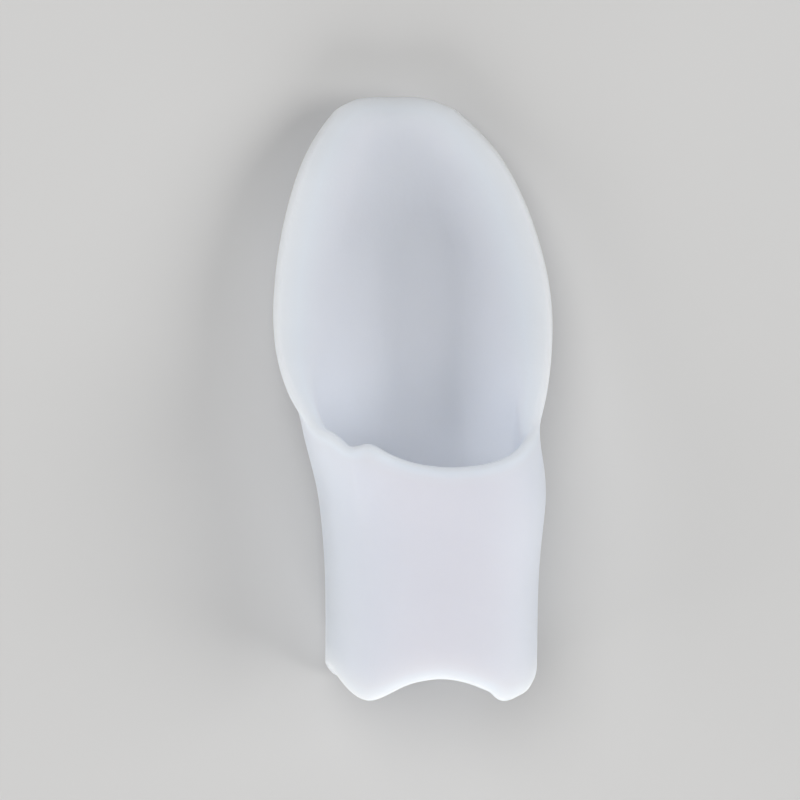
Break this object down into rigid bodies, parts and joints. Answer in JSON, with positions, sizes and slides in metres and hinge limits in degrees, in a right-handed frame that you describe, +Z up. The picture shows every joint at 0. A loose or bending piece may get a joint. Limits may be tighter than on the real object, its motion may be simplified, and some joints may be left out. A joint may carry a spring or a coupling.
{
  "type": "toe separator",
  "caption": "Soft white gel toe separator: an open sleeve for the big toe, its back wall running on as a spoon-shaped bunion shield.",
  "frame": {"origin": "middle of the part's box in X and Y, on the surface that the part lies on", "axes": "+Y from the sleeve's toe end to the shield's tip, +Z up, out of the separator wall and the shield's hollow, +X to the right with the shield's tip pointing away"},
  "size_m": [0.0354, 0.0741, 0.0218],
  "materials": {
    "gel": "milky translucent gel, satin"
  },
  "bodies": {
    "root": {"toe_separator": "gel"}
  },
  "joints": []
}
